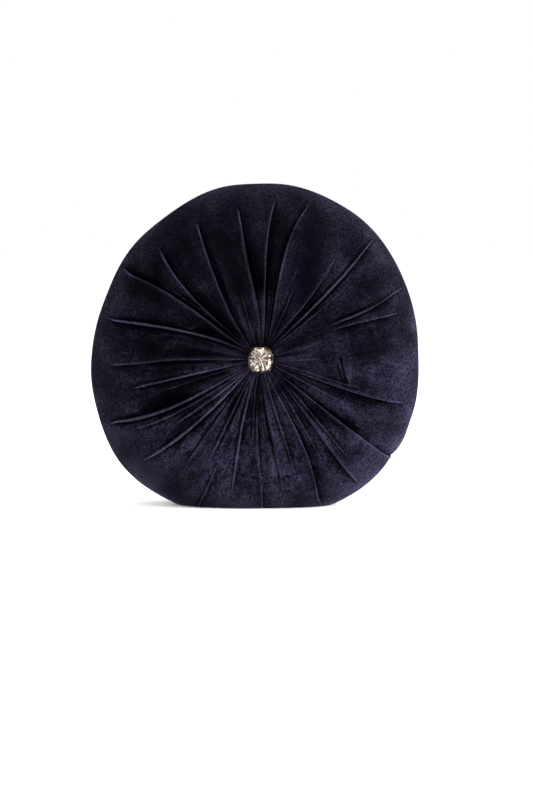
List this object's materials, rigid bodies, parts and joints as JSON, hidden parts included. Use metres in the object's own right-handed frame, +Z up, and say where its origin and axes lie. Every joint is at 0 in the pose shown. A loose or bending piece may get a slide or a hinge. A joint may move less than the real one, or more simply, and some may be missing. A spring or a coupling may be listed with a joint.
{
  "type": "round tufted seat cushion",
  "caption": "Round plump seat cushion in pleated velvet, gathered to a crystal button at the front and a covered button at the back, standing on its rim.",
  "frame": {"origin": "middle of the standing cushion's bounding box, on the ground", "axes": "+X to the right seen from the front, +Y from the crystal towards the back button, +Z up"},
  "size_m": [0.4, 0.114, 0.397],
  "materials": {
    "velvet": "dark navy-purple pile velvet with a soft lavender sheen and brushed patches",
    "seam_thread": "dark navy polyester thread",
    "crystal": "clear cut glass, silver-foiled behind",
    "button_metal": "bright nickel-plated steel",
    "twine": "natural waxed thread and twine",
    "calico": "plain unbleached calico",
    "fibre": "white hollow fibre"
  },
  "bodies": {
    "cushion": {"velvet_cover": "velvet", "cover_side_seam_thread": "seam_thread", "front_gather_thread": "seam_thread", "back_gather_thread": "seam_thread", "tufting_twine": "twine", "pad_front_panel": "calico", "pad_back_panel": "calico", "pad_rim_seam_thread": "twine", "pad_closing_stitches": "twine", "fibre_fill": "fibre"},
    "crystal_button": {"crystal_stone": "crystal", "crystal_back_plate": "button_metal", "crystal_wire_loop": "button_metal"},
    "back_button": {"back_button_velvet": "velvet", "back_button_dome": "button_metal", "back_button_plate": "button_metal", "back_button_wire_loop": "button_metal"}
  },
  "joints": [
    {"name": "crystal_button_twist", "type": "hinge", "parent": "cushion", "child": "crystal_button", "pos_m": [0.007, -0.025, 0.182], "axis": [0, 1, 0], "range_deg": [-45, 45]},
    {"name": "back_button_twist", "type": "hinge", "parent": "cushion", "child": "back_button", "pos_m": [0.007, 0.025, 0.182], "axis": [0, 1, 0], "range_deg": [-45, 45]}
  ]
}
